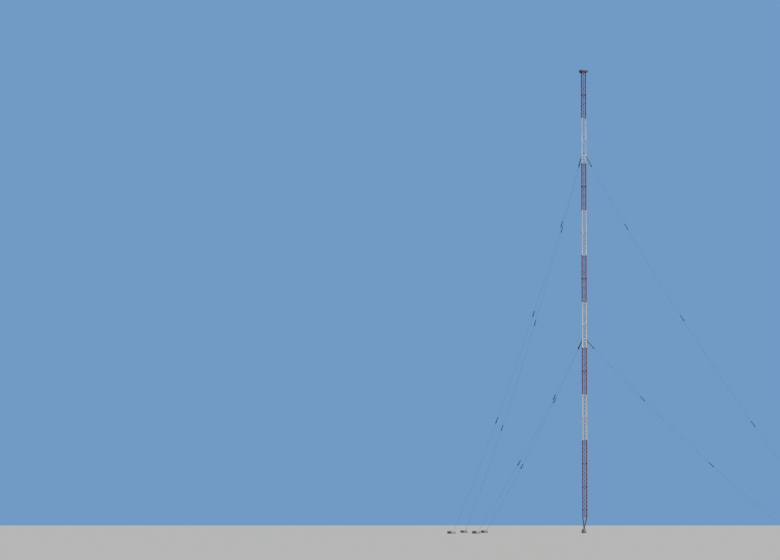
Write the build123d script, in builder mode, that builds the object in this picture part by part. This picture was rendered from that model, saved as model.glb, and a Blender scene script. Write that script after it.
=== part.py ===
from build123d import *

import os
from math import atan, cos, degrees, pi, sqrt

os.makedirs("parts", exist_ok=True)

# Guyed lattice radio mast at one tenth of its real size: 100 mm here is 1 m of the mast.
# +Z is up, one leg stands towards +X, and the origin is the middle of the pedestal's underside.

# Column of three legs
section_length = 600.0
section_count = 20
sections_per_band = 2
face_width = 120.0
leg_across = 22.0
flange_size = 38.0
flange_thickness = 3.0

# Crossed lacing of a side, bent from bars of three-sided section
panel_count = 6
lacing_clearance = 8.0
bar_width = 5.5
bar_depth = 4.8

# Foot that narrows to the base insulator
shoulder_height = 420.0
foot_height = 190.0
foot_radius = 18.0
foot_panel_count = 2
diaphragm_thickness = 5.0
diaphragm_heights = (305.0, 412.0)

# Base: cap, insulator, bearing plate and pedestal
cap_radius = 34.0
cap_thickness = 14.0
insulator_radius = 22.0
insulator_neck_radius = 15.0
bearing_radius = 40.0
bearing_thickness = 8.0
pedestal_height = 100.0
pedestal_radius = 75.0
pedestal_taper = 6.0

# Ladder inside the column, on an arm at each joint
ladder_offset = 14.0
ladder_width = 36.0
stringer_width = 7.0
stringer_thickness = 2.0
ladder_arm_width = 14.0
ladder_arm_thickness = 3.0
ladder_top_gap = 10.0

# Guy collars outside the lacing: two rings, joined by a lug plate at each corner
upper_collar_height = 9805.0
lower_collar_height = 5030.0
collar_drop = 68.0
collar_depth = 12.0
collar_width = 8.0
collar_clearance = 1.2
lug_thickness = 5.0
lug_length = 14.0
lug_end = 7.0

# Guys: height of the anchored end, distance of the anchors, sag at the middle of the span
anchor_height = 45.0
upper_anchor_reach = 6450.0
lower_anchor_reach = 5280.0
upper_sag = 450.0
lower_sag = 175.0
wire_across = 2.4
wire_gap = 0.3

# Insulators broken into the guys, by the distance of their middles from the mast's axis
mast_string_length = 260.0
guy_string_length = 180.0
upper_string_reaches = (1115.0, 2555.0, 4375.0)
lower_string_reaches = (1520.0, 3290.0)
string_neck_radius = 3.0
string_bead_radius = 12.0
string_end_radius = 15.0
bead_count = 3

# Rigging screws and anchor blocks
screw_length = 160.0
screw_rod = 5.0
screw_body = 11.0
block_length = 200.0
block_width = 120.0
seat_length = 50.0

# Head platform
platform_side_reach = 100.0
platform_corner_reach = 130.0
platform_frame_depth = 14.0
platform_ring_width = 10.0
platform_arm_width = 12.0
deck_thickness = 4.0
hatch_size = 46.0
kerb_height = 20.0
kerb_thickness = 3.0
knee_thickness = 4.0
knee_drop = 40.0

# Values that follow
leg_circle = face_width / sqrt(3)
side_distance = leg_circle / 2
side_reach = (face_width - leg_across) / 2
mast_top = section_length * section_count
insulator_foot = pedestal_height + bearing_thickness
insulator_height = foot_height - cap_thickness - insulator_foot
lug_reach = leg_circle + leg_across / sqrt(3) + collar_width + lug_length
azimuths = (0.0, 120.0, 240.0)


def write(piece, name):
    """Label a finished piece and write it as its own file."""
    piece.part.label = name
    export_step(piece.part, f"parts/{name}.step")


def barrel(radius, neck, length, sides):
    """An upright insulator body about the origin, widest at its middle."""
    taper = degrees(atan((radius - neck) * cos(pi / sides) * 2 / length))
    with BuildPart() as body:
        with BuildSketch():
            RegularPolygon(radius, sides)
        extrude(amount=length / 2, taper=taper)
        mirror(about=Plane.XY)
    return body.part


def lacing_side(bottom, top, panels):
    """Two bent bars on the plane X=0, one in front of the other, fused where they cross.

    A bar's middle line turns back short of the leg, so that the outside of the bend meets the leg.
    """
    pitch = (top - bottom) / panels
    lean = 1 - (bar_width / pitch) ** 2
    bend_reach = (side_reach - sqrt(side_reach**2 - lean * (side_reach**2 - bar_width**2 / 4))) / lean
    bends = []
    for count in range(-1, panels + 2):
        side = bend_reach if count % 2 else -bend_reach
        bends.append(Vector(0, side, bottom + count * pitch))
    with BuildPart() as bent_bar:
        with BuildLine():
            Polyline(*bends)
        with BuildSketch(Plane(origin=bends[0], x_dir=(1, 0, 0), z_dir=bends[1] - bends[0])):
            Polygon((0, -bar_width / 2), (bar_depth, 0), (0, bar_width / 2), align=None)
        sweep(transition=Transition.RIGHT)
        split(bisect_by=Plane.XY.offset(bottom), keep=Keep.TOP)
        split(bisect_by=Plane.XY.offset(top), keep=Keep.BOTTOM)
    with BuildPart() as side_lacing:
        with PolarLocations(0, 2):
            add(bent_bar.part)
    return side_lacing.part


def section_lacing(bottom, top, panels, sections):
    """The three laced sides of one or more sections that stand on each other."""
    side = lacing_side(bottom, top, panels)
    with BuildPart() as lacing:
        for count in range(sections):
            with Locations((0, 0, count * section_length)):
                with PolarLocations(side_distance, 3, start_angle=60):
                    add(side)
    return lacing


def leg_bars(bottom, sections, head=False):
    """Three straight legs with a pair of flange plates at the lower end of every section."""
    with BuildPart() as legs:
        with BuildSketch(Plane.XY.offset(bottom - flange_thickness)):
            with PolarLocations(leg_circle, 3):
                RegularPolygon(leg_across / 2, 6, major_radius=False)
        extrude(amount=sections * section_length)
        for count in range(sections):
            with BuildSketch(Plane.XY.offset(bottom + count * section_length - flange_thickness)):
                with PolarLocations(leg_circle, 3):
                    Rectangle(flange_size, flange_size)
            extrude(amount=2 * flange_thickness)
        if head:
            with BuildSketch(Plane.XY.offset(bottom + sections * section_length - flange_thickness)):
                with PolarLocations(leg_circle, 3):
                    Rectangle(flange_size, flange_size)
            extrude(amount=flange_thickness)
    return legs


# Straight bands of the column, numbered from the ground
first_bottom = section_length
first_sections = sections_per_band - 1
bands = [(first_bottom, first_sections)]
for band in range(1, section_count // sections_per_band):
    bands.append((band * sections_per_band * section_length, sections_per_band))

for number, (bottom, sections) in enumerate(bands, start=1):
    is_head = number == len(bands)
    write(leg_bars(bottom, sections, is_head), f"legs_{number:02d}")
    lacing_bottom = bottom + lacing_clearance
    lacing_top = bottom + section_length - lacing_clearance
    lacing = section_lacing(lacing_bottom, lacing_top, panel_count, sections)
    write(lacing, f"lacing_{number:02d}")

# Foot: three legs bent inwards below the shoulder
with BuildPart() as foot_legs:
    for azimuth in azimuths:
        low = Vector(foot_radius, 0, foot_height).rotate(Axis.Z, azimuth)
        bend = Vector(leg_circle, 0, shoulder_height).rotate(Axis.Z, azimuth)
        high = Vector(leg_circle, 0, section_length - flange_thickness).rotate(Axis.Z, azimuth)
        start = low - (bend - low) * 0.1
        across = Vector(0, 1, 0).rotate(Axis.Z, azimuth)
        with BuildLine() as leg_line:
            Polyline(start, bend, high)
        with BuildSketch(Plane(origin=start, x_dir=across, z_dir=bend - low)):
            RegularPolygon(leg_across / 2, 6, major_radius=False, rotation=30)
        sweep(path=leg_line.wire(), transition=Transition.RIGHT)
    split(bisect_by=Plane.XY.offset(foot_height), keep=Keep.TOP)
write(foot_legs, "foot_legs")

lacing_top = section_length - lacing_clearance
foot_lacing_bottom = shoulder_height + lacing_clearance
foot_lacing = section_lacing(foot_lacing_bottom, lacing_top, foot_panel_count, 1)
write(foot_lacing, "foot_lacing")

# Diaphragm plates between the bent legs
with BuildPart() as foot_diaphragms:
    for height in diaphragm_heights:
        share = (height - foot_height) / (shoulder_height - foot_height)
        radius = foot_radius + (leg_circle - foot_radius) * share
        with BuildSketch(Plane.XY.offset(height)):
            RegularPolygon(radius, 3)
        extrude(amount=diaphragm_thickness)
    add(foot_legs.part, mode=Mode.SUBTRACT)
write(foot_diaphragms, "foot_diaphragms")

# Cap plate that the foot stands on
with BuildPart() as foot_cap:
    with BuildSketch(Plane.XY.offset(foot_height - cap_thickness)):
        RegularPolygon(cap_radius, 12)
    extrude(amount=cap_thickness)
write(foot_cap, "foot_cap")

# Base insulator
with BuildPart() as base_insulator:
    with Locations((0, 0, insulator_foot + insulator_height / 2)):
        add(barrel(insulator_radius, insulator_neck_radius, insulator_height, 12))
write(base_insulator, "base_insulator")

# Bearing plate and concrete pedestal
with BuildPart() as bearing_plate:
    with BuildSketch(Plane.XY.offset(pedestal_height)):
        RegularPolygon(bearing_radius, 12)
    extrude(amount=bearing_thickness)
write(bearing_plate, "bearing_plate")

with BuildPart() as pedestal:
    with BuildSketch():
        RegularPolygon(pedestal_radius, 8, rotation=22.5)
    extrude(amount=pedestal_height, taper=pedestal_taper)
write(pedestal, "pedestal")

# Ladder: two flat stringers
ladder_bottom = diaphragm_heights[-1] + diaphragm_thickness
ladder_length = mast_top - ladder_top_gap - ladder_bottom
with BuildPart() as ladder:
    with Locations((ladder_offset, 0, ladder_bottom)):
        with GridLocations(0, ladder_width, 1, 2):
            Box(stringer_width, stringer_thickness, ladder_length, align=(Align.MIN, Align.CENTER, Align.MIN))
write(ladder, "ladder")

# Arms that hold the stringers, from the +X leg's flanges at each joint
arm_start = ladder_offset + stringer_width
arm_end = leg_circle - flange_size / 2
arm_half = (ladder_width + stringer_thickness) / 2
with BuildPart() as ladder_arms:
    for joint in range(1, section_count):
        with BuildSketch(Plane.XY.offset(joint * section_length)):
            Polygon(
                (arm_start, -arm_half),
                (arm_end, -ladder_arm_width / 2),
                (arm_end, ladder_arm_width / 2),
                (arm_start, arm_half),
                align=None,
            )
        extrude(amount=ladder_arm_thickness)
write(ladder_arms, "ladder_arms")


def guy_height(reach, lug_height, anchor_reach, sag):
    """Height of a guy at a distance from the axis: the straight line less a parabola's sag."""
    share = (reach - lug_reach) / (anchor_reach - lug_reach)
    return lug_height + (anchor_height - lug_height) * share - 4 * sag * share * (1 - share)


def guy_point(reach, lug_height, anchor_reach, sag):
    """A point of the guy that runs out over +X."""
    return Vector(reach, 0, guy_height(reach, lug_height, anchor_reach, sag))


def guy_stations(lug_height, anchor_reach, sag, string_reaches):
    """Ends of every string and wire of one guy, from the lug outwards, and of its rigging screw."""
    guy = (lug_height, anchor_reach, sag)
    stations = [guy_point(lug_reach, *guy)]
    slope = (guy_point(lug_reach + mast_string_length / 2, *guy) - stations[0]).normalized()
    stations.append(guy_point(lug_reach + mast_string_length * slope.X, *guy))
    for reach in string_reaches:
        slope = (guy_point(reach + guy_string_length / 2, *guy) - guy_point(reach, *guy)).normalized()
        half = guy_string_length / 2 * slope.X
        stations.append(guy_point(reach - half, *guy))
        stations.append(guy_point(reach + half, *guy))
    seat = guy_point(anchor_reach, *guy)
    slope = (seat - guy_point(anchor_reach - screw_length / 2, *guy)).normalized()
    stations.append(seat - slope * screw_length)
    stations.append(seat)
    return stations


def string_part(start, end):
    """Insulators threaded one behind the other, the outermost one the thickest."""
    length = (start - end).length
    pitch = length / bead_count
    with BuildPart() as beads:
        for bead in range(bead_count):
            radius = string_bead_radius if bead else string_end_radius
            with Locations((0, 0, pitch * (bead + 0.5))):
                add(barrel(radius, string_neck_radius, pitch, 6))
    with BuildPart() as string:
        with Locations(Plane(origin=end, x_dir=(0, 1, 0), z_dir=start - end).location):
            add(beads.part)
    return string.part


def wire_part(start, end, middle):
    """One length of guy wire with a slight bend at its middle, where it sags."""
    first = start + (middle - start).normalized() * wire_gap
    last = end - (end - middle).normalized() * wire_gap
    with BuildPart() as wire:
        with BuildLine():
            Polyline(first, middle, last)
        with BuildSketch(Plane(origin=first, x_dir=(0, 1, 0), z_dir=middle - first)):
            RegularPolygon(wire_across / 2, 4, major_radius=False)
        sweep(transition=Transition.RIGHT)
    return wire.part


def screw_part(start, end):
    """A rigging screw: a rod at both ends and a thicker body between them."""
    run = end - start
    with BuildPart() as screw:
        with BuildSketch(Plane(origin=start, x_dir=(0, 1, 0), z_dir=run)):
            Rectangle(screw_rod, screw_rod)
        extrude(amount=run.length)
        with BuildSketch(Plane(origin=start + run / 3, x_dir=(0, 1, 0), z_dir=run)):
            Rectangle(screw_body, screw_body)
        extrude(amount=run.length / 3)
    return screw.part


def block_part(seat, slope):
    """A concrete anchor block whose inner top edge is cut square to the guy."""
    along = Vector(-slope.Z, 0, slope.X) * (seat_length / 2)
    low = seat - along
    high = seat + along
    with BuildPart() as block:
        with BuildSketch(Plane.XZ):
            Polygon(
                (low.X, 0),
                (low.X + block_length, 0),
                (low.X + block_length, high.Z),
                (high.X, high.Z),
                (low.X, low.Z),
                align=None,
            )
        extrude(amount=block_width / 2, both=True)
    return block.part


def collar(lug_tip, slope):
    """Two rings of flat bar round the legs, outside the lacing, joined by a lug plate at each corner."""
    inner = side_distance + bar_depth + collar_clearance
    corner = lug_reach - lug_length
    plate_edge = leg_circle + leg_across / sqrt(3) + collar_clearance
    across = Vector(-slope.Z, 0, slope.X).normalized() * (lug_end / 2)
    high = lug_tip + across
    low = lug_tip - across
    with BuildPart() as lug:
        with BuildSketch(Plane.XZ):
            Polygon(
                (plate_edge, lug_tip.Z + collar_drop + collar_depth / 2),
                (corner, lug_tip.Z + collar_drop + collar_depth / 2),
                (high.X, high.Z),
                (low.X, low.Z),
                (corner, lug_tip.Z - collar_depth / 2),
                (plate_edge, lug_tip.Z - collar_depth / 2),
                align=None,
            )
        extrude(amount=lug_thickness / 2, both=True)
    with BuildPart() as rings:
        for height in (lug_tip.Z, lug_tip.Z + collar_drop):
            with BuildSketch(Plane.XY.offset(height - collar_depth / 2)):
                RegularPolygon(inner + collar_width, 3, major_radius=False)
                RegularPolygon(corner, 3, major_radius=False, rotation=60, mode=Mode.INTERSECT)
                RegularPolygon(inner, 3, major_radius=False, mode=Mode.SUBTRACT)
                with PolarLocations(leg_circle, 3):
                    RegularPolygon(leg_across / 2, 6, major_radius=False, mode=Mode.SUBTRACT)
            extrude(amount=collar_depth)
        with PolarLocations(0, 3):
            add(lug.part)
    return rings


guy_levels = (
    ("upper", upper_collar_height, upper_anchor_reach, upper_sag, upper_string_reaches),
    ("lower", lower_collar_height, lower_anchor_reach, lower_sag, lower_string_reaches),
)
directions = (("right", 0.0), ("far", 120.0), ("near", 240.0))

screws = []
blocks = []
for level, collar_height, anchor_reach, sag, string_reaches in guy_levels:
    guy = (collar_height - collar_drop, anchor_reach, sag)
    stations = guy_stations(*guy, string_reaches)
    guy_collar = collar(stations[0], stations[1] - stations[0])
    write(guy_collar, f"{level}_guy_collar")

    strings = []
    wires = []
    for count in range(len(stations) - 2):
        start, end = stations[count : count + 2]
        if count % 2:
            middle = guy_point((start.X + end.X) / 2, *guy)
            wires.append(wire_part(start, end, middle))
        else:
            strings.append(string_part(start, end))

    with BuildPart() as guy_insulators:
        with PolarLocations(0, 3):
            for string in strings:
                add(string)
    write(guy_insulators, f"{level}_guy_insulators")

    for direction, azimuth in directions:
        with BuildPart() as guy_wire:
            with Locations(Rotation(0, 0, azimuth)):
                for wire in wires:
                    add(wire)
        write(guy_wire, f"{level}_guy_wire_{direction}")

    screw_start, seat = stations[-2:]
    screws.append(screw_part(screw_start, seat))
    blocks.append(block_part(seat, (seat - screw_start).normalized()))

with BuildPart() as rigging_screws:
    with PolarLocations(0, 3):
        for screw in screws:
            add(screw)
write(rigging_screws, "rigging_screws")

with BuildPart() as anchor_blocks:
    with PolarLocations(0, 3):
        for block in blocks:
            add(block)
write(anchor_blocks, "anchor_blocks")


def platform_outline(inset):
    """A triangle with cut corners, drawn in by an inset: a corner over each leg."""
    RegularPolygon(platform_side_reach - inset, 3, major_radius=False)
    RegularPolygon(platform_corner_reach - inset, 3, major_radius=False, rotation=60, mode=Mode.INTERSECT)


# Head platform: a frame with an arm over each leg
with BuildSketch() as frame_inside:
    platform_outline(platform_ring_width)
with BuildPart() as platform_frame:
    with BuildSketch(Plane.XY.offset(mast_top)):
        platform_outline(0)
        add(frame_inside.sketch_local, mode=Mode.SUBTRACT)
        with PolarLocations(leg_circle - flange_size / 2, 3):
            arm_length = platform_corner_reach - leg_circle + flange_size / 2
            Rectangle(arm_length, platform_arm_width, align=(Align.MIN, Align.CENTER))
    extrude(amount=platform_frame_depth)
write(platform_frame, "platform_frame")

deck_height = mast_top + platform_frame_depth
with BuildPart() as platform_deck:
    with BuildSketch(Plane.XY.offset(deck_height)):
        platform_outline(0)
        with Locations((ladder_offset, 0)):
            Rectangle(hatch_size, hatch_size, mode=Mode.SUBTRACT)
    extrude(amount=deck_thickness)
write(platform_deck, "platform_deck")

# Kerb that stands on the deck's edge
with BuildSketch() as kerb_inside:
    platform_outline(kerb_thickness)
with BuildPart() as platform_kerb:
    with BuildSketch(Plane.XY.offset(deck_height + deck_thickness)):
        platform_outline(0)
        add(kerb_inside.sketch_local, mode=Mode.SUBTRACT)
    extrude(amount=kerb_height)
write(platform_kerb, "platform_kerb")

# Knee plates from each leg out to the two nearest sides of the platform
with BuildPart() as knee:
    with BuildSketch(Plane.XZ):
        Polygon(
            (side_distance, mast_top - knee_drop),
            (platform_side_reach, mast_top),
            (side_distance, mast_top),
            align=None,
        )
    extrude(amount=knee_thickness / 2, both=True)
with BuildPart() as platform_knees:
    with PolarLocations(0, 3, start_angle=60):
        with GridLocations(0, face_width, 1, 2):
            add(knee.part)
    add(leg_bars(mast_top - section_length, 1, head=True).part, mode=Mode.SUBTRACT)
write(platform_knees, "platform_knees")
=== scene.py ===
"""Looks of a guyed lattice radio mast at one tenth of its real size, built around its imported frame.

Lengths are in metres and angles in degrees. The mast stands on the origin with +Z up, and its legs and guys
lie at 0, 120 and 240 degrees about Z. A shape is a set of points with its quads and triangles: rings of
points are worked out as whole arrays, skinned, and copied to their places.
"""

from collections import namedtuple
from math import pi, radians, sqrt

import bpy
import numpy as np
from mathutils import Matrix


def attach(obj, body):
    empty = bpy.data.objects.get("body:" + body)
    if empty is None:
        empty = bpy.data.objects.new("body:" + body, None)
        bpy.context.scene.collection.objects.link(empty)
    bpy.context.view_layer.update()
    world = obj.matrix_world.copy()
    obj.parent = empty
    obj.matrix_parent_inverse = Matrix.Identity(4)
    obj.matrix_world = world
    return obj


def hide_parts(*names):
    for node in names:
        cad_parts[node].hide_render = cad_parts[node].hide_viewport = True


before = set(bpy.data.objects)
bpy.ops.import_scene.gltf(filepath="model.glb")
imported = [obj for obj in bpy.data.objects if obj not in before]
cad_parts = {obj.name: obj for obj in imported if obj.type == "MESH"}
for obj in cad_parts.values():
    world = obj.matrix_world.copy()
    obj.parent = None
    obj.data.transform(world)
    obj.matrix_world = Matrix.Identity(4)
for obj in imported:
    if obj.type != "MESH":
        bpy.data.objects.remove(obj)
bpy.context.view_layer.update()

# Column: legs, flanges and the fins on them
azimuths = np.array([0.0, 120.0, 240.0])
section_length = 0.6
section_count = 20
sections_per_band = 2
red_bands = (1, 2, 4, 6, 8, 10)
mast_top = section_length * section_count
face_width = 0.12
leg_circle = face_width / sqrt(3)
side_distance = leg_circle / 2
leg_across = 0.022
leg_corner_reach = leg_circle + leg_across / sqrt(3)
leg_radius = 0.0115
leg_sides = 24
flange_size = 0.038
flange_inner_reach = leg_circle - flange_size / 2
flange_radius = 0.0206
flange_thickness = 0.003
flange_edge = 0.0003
flange_bolt_circle = 0.0167
flange_bolt_count = 6
joint_gap = 0.00015
weld_length = 0.0035
weld_width = 0.0016
fin_reach = 0.0186
fin_height = 0.0095
fin_thickness = 0.0012
fin_toe = 0.0012
fin_crown = 0.0006
fin_sink = 0.0005

# Bolts and nuts, and the bigger nuts of bolts that are cast into concrete
bolt_radius = 0.002
bolt_head_height = 0.0016
bolt_head_edge = 0.0004
nut_height = 0.0021
nut_edge = 0.0003
nut_sides = 6
thread_radius = 0.0011
thread_length = 0.0037
thread_taper = 0.0002
thread_tip = 0.0003
thread_sides = 8
anchor_nut_radius = 0.003
anchor_nut_height = 0.003
anchor_thread_radius = 0.0015
anchor_thread_height = 0.0066

# Broken edges of bars and plates, from the finest to the broadest
hair_edge = 0.0001
fine_edge = 0.0002
bar_edge = 0.0003
plate_edge = 0.0004
lug_edge = 0.0005

# Lacing: bent round bars, and a level angle bar at each end of a section
panel_count = 6
bar_depth = 0.0048
lacing_clearance = 0.008
lacing_radius = 0.0028
lacing_sides = 10
lacing_reach = 0.0488
lacing_end_reach = 0.053
lacing_bend = 0.006
weld_bead_sides = 8
level_bar_rise = 0.0055
level_bar_height = 0.006
level_bar_width = 0.004
level_bar_thickness = 0.001
level_bar_reach = 0.0502
level_web_inset = 0.0001
level_web_rise = 0.0003

# Foot, base insulator and pedestal
shoulder_height = 0.42
foot_height = 0.19
foot_radius = 0.018
foot_bend = 0.03
foot_panel_count = 2
foot_tube_sink = 0.002
foot_tube_lean = 0.0005
foot_tube_drop = 0.004
foot_level_drop = 0.003
foot_weld_reaches = (0.0, 0.0035, 0.0075)
foot_weld_widths = (0.003, 0.0022, 0.0)
cap_radius = 0.0334
cap_thickness = 0.014
cap_underside = foot_height - cap_thickness
cap_bolt_circle = 0.0285
cap_bolt_count = 3
insulator_core = 0.0125
insulator_core_sink = 0.002
insulator_shed_radius = 0.0216
insulator_shed_count = 5
insulator_sides = 48
socket_radius = 0.0192
socket_height = 0.0085
bearing_radius = 0.0396
bearing_thickness = 0.008
bearing_bolt_circle = 0.0345
bearing_bolt_count = 8
disc_sides = 64
disc_chamfer = 0.0008
groove_depth = 0.0004
groove_mouth = 0.0008
groove_floor = 0.0003
pedestal_height = 0.1
insulator_foot = pedestal_height + bearing_thickness
pedestal_radius = 0.075
pedestal_sides = 8
pedestal_taper = 6
pedestal_corner_cut = 0.005
pedestal_chamfer = 0.004
grout_sides = 40

# Ladder
ladder_offset = 0.014
ladder_width = 0.036
ladder_bottom = 0.417
ladder_top_gap = 0.01
ladder_top = mast_top - ladder_top_gap
stringer_width = 0.007
stringer_thickness = 0.002
stringer_gap = 0.0003
splice_rise = 0.18
splice_half = 0.02
splice_inset = 0.0008
splice_thickness = 0.0008
splice_bolt_radius = 0.0012
splice_bolt_height = 0.001
splice_bolt_edge = 0.0003
splice_bolt_heights = (-0.015, -0.006, 0.006, 0.015)
rung_spacing = 0.03
rung_radius = 0.0011
rung_sides = 8
rung_tip = 0.0003
first_rung = 0.435
last_rung_drop = 0.005
ladder_arm_width = 0.014
ladder_arm_thickness = 0.003
clip_inset = 0.004
clip_reach = 0.014
arm_bolt_inset = 0.005

# Guy collars: channel rings, the cover plates on their sides, and lugs
collar_drop = 0.068
collar_depth = 0.012
collar_width = 0.008
collar_steel = 0.0015
collar_clearance = 0.0012
collar_side = side_distance + bar_depth + collar_clearance + collar_width
cover_half = 0.019
cover_rise = 0.0045
cover_thickness = 0.0012
cover_bolt_radius = 0.0019
cover_bolt_root = 0.001
cover_bolt_reach = 0.003
cover_bolt_spots = (-0.014, -0.005, 0.005, 0.014)
lug_length = 0.014
lug_thickness = 0.005
lug_end = 0.007
lug_inset = 0.0005
lug_reach = leg_corner_reach + collar_width + lug_length
lug_root = leg_corner_reach + collar_clearance
lug_corner = lug_reach - lug_length
pin_depth = 0.0045
pin_boss_radius = 0.0042
pin_boss_half = 0.0032
boss_sides = 16

# Guys: the upper ring of their collar, how far they run and sag, and the strings that break them up
Guy = namedtuple("Guy", "collar_height anchor_reach sag string_reaches")
guys = {
    "upper": Guy(9.805, 6.45, 0.45, (1.115, 2.555, 4.375)),
    "lower": Guy(5.03, 5.28, 0.175, (1.52, 3.29)),
}
directions = {"right": 0, "far": 120, "near": 240}
anchor_height = 0.045
mast_string_length = 0.26
mast_shed_count = 6
guy_string_length = 0.18
guy_shed_count = 4
bead_count = 3
bead_radius = 0.012
end_bead_radius = 0.015
bead_core_share = 0.52
bead_cap_share = 0.15
bead_cap_overlap = 0.001
bead_sides = 24
strand_radius = 0.0012
strand_sides = 8
strand_step = 0.06
strand_least_points = 6
strand_socket_length = 0.016
strand_socket_sides = 12
lay_length = 0.022

# Shackles
bow_radius = 0.0042
bow_rise = 0.0052
bow_heel = 0.001
bow_bar = 0.0013
shackle_pin = 0.0015
shackle_pin_half = 0.0066
shackle_head = 0.0027
shackle_head_start = 0.0056
shackle_head_stop = 0.0074
shackle_sides = 10

# Rigging screws
screw_length = 0.16
screw_rod = 0.0024
screw_rod_reach = 0.0665
screw_rod_sides = 12
screw_boss = 0.0056
screw_boss_start = 0.0535
screw_boss_length = 0.008
screw_bar = 0.0017
screw_bar_offset = 0.0046
screw_bar_start = 0.057
screw_bar_sides = 8
lock_nut_radius = 0.0042
lock_nut_start = 0.05
lock_nut_height = 0.003
lock_nut_edge = 0.0004
near_jaw_depth = 0.004
far_jaw_depth = 0.006

# Anchor blocks, and the plate and eye on their seats
block_length = 0.2
block_width = 0.12
block_chamfer = 0.003
seat_length = 0.05
seat_plate_half = 0.019
seat_plate_cut = 0.004
seat_plate_sink = 0.002
seat_plate_rise = 0.001
seat_bolt_circle = 0.0195
seat_bolt_count = 4
eye_thickness = 0.002
eye_width = 0.012
eye_height = 0.009

# Head platform
platform_side_reach = 0.1
platform_corner_reach = 0.13
platform_frame_depth = 0.014
platform_ring_width = 0.01
platform_arm_width = 0.012
platform_steel = 0.0016
deck_height = mast_top + platform_frame_depth
deck_thickness = 0.004
deck_top = deck_height + deck_thickness
deck_gap = 0.0006
kerb_height = 0.02
kerb_thickness = 0.003
kerb_edge = 0.0008
hatch_size = 0.046
rim_thickness = 0.0016
bars_aside = 30
grating_pitch = 0.004
grating_half = 0.0003
grating_drop = 0.0001
rods_outward = 10
rods_inward = 8
rod_pitch = 0.012
rod_half = 0.0005
rod_height = 0.001
rod_drop = 0.0002
beam_bolt_reach = 0.1
beam_bolt_half = 0.004
tip_bolt_reach = 0.116

# Colours of paint, metal, porcelain and concrete
fresh_red = (0.18, 0.01, 0.018, 1)
faded_red = (0.24, 0.028, 0.034, 1)
fresh_white = (0.82, 0.83, 0.83, 1)
faded_white = (0.72, 0.72, 0.7, 1)
light_zinc = (0.42, 0.43, 0.44, 1)
dark_zinc = (0.22, 0.225, 0.23, 1)
light_steel = (0.17, 0.17, 0.175, 1)
dark_steel = (0.07, 0.07, 0.072, 1)
greased_strand = (0.055, 0.056, 0.06, 1)
dry_strand = (0.11, 0.11, 0.11, 1)
dark_glaze = (0.014, 0.007, 0.006, 1)
light_glaze = (0.035, 0.013, 0.009, 1)
dark_concrete = (0.27, 0.255, 0.23, 1)
light_concrete = (0.43, 0.415, 0.39, 1)

# Colours of what the weather leaves on them, and the darker colour drawn in the strand's grooves
paint_grime = (0.035, 0.028, 0.026, 1)
bled_rust = (0.13, 0.05, 0.024, 1)
chip_rust = (0.11, 0.045, 0.025, 1)
paint_dust = (0.26, 0.235, 0.2, 1)
zinc_grime = (0.07, 0.058, 0.046, 1)
zinc_rust = (0.12, 0.05, 0.028, 1)
zinc_dust = (0.28, 0.26, 0.225, 1)
strand_rust = (0.08, 0.035, 0.02, 1)
groove_darkening = (0.012, 0.011, 0.01, 1)
glaze_dust = (0.1, 0.085, 0.07, 1)
pore_shade = (0.12, 0.11, 0.1, 1)
damp_green = (0.085, 0.09, 0.055, 1)

# Sizes of the patterns in zinc and concrete
spangle_size = 0.0018
board_height = 0.016

# Camera, floor and light
camera_distance = 101.307
camera_height = 0.22
camera_turn = 0.2
camera_yaw = 2.845
camera_tilt = 3.5886
camera_lens = 180
camera_sensor = 36
nearest_seen = 1
farthest_seen = 3000
backdrop = (0.165, 0.325, 0.555, 1)
floor_colour = (0.6, 0.61, 0.6, 1)
floor_half = 900
soft_light = 0.22
key_light = 3.05
key_height = 35
key_turn = 84
key_spread = 14


def skin(rings, closed=False):
    """A closed skin over rings of points, ring by ring.

    Quads join point j of ring i to its neighbours j + 1 and i + 1. The last ring meets the first one, or
    else each end is a fan about its middle. The signed volume, a sixth of the sum of a . (b x c) over the
    faces, is made positive, so faces look outwards.
    """
    count, around = rings.shape[:2]
    index = np.arange(count * around).reshape(count, around)
    index = np.concatenate([index, index[:1]]) if closed else index
    after = np.roll(index, -1, axis=1)
    quads = np.stack([index[:-1], after[:-1], after[1:], index[1:]], axis=-1).reshape(-1, 4)
    points = rings.reshape(-1, 3)
    triangles = np.empty((0, 3), int)
    if not closed:
        points = np.concatenate([points, rings[[0, -1]].mean(axis=1)])
        low = np.stack([np.full(around, count * around), after[0], index[0]], axis=-1)
        high = np.stack([np.full(around, count * around + 1), index[-1], after[-1]], axis=-1)
        triangles = np.concatenate([low, high])
    every = np.concatenate([quads[:, :3], quads[:, [0, 2, 3]], triangles])
    first, second, third = (points - points.mean(axis=0))[every].transpose(1, 0, 2)
    if (first * np.cross(second, third)).sum() < 0:
        quads = quads[:, ::-1]
        triangles = triangles[:, ::-1]
    return points, quads, triangles


def merged(*shapes):
    """Several shapes as one: each one's faces are counted on from the points before it."""
    starts = np.cumsum([0] + [len(points) for points, _, _ in shapes[:-1]])
    points = np.concatenate([shape[0] for shape in shapes])
    quads = np.concatenate([shape[1] + start for shape, start in zip(shapes, starts)])
    triangles = np.concatenate([shape[2] + start for shape, start in zip(shapes, starts)])
    return points, quads, triangles


def copies(shape, places):
    """The shape once at each place: point' = turn @ point + shift, for all places at once."""
    points, quads, triangles = shape
    placed = np.einsum("kij,nj->kni", places[:, :3, :3], points) + places[:, None, :3, 3]
    step = np.arange(len(places))[:, None, None] * len(points)
    return placed.reshape(-1, 3), (quads + step).reshape(-1, 4), (triangles + step).reshape(-1, 3)


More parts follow.
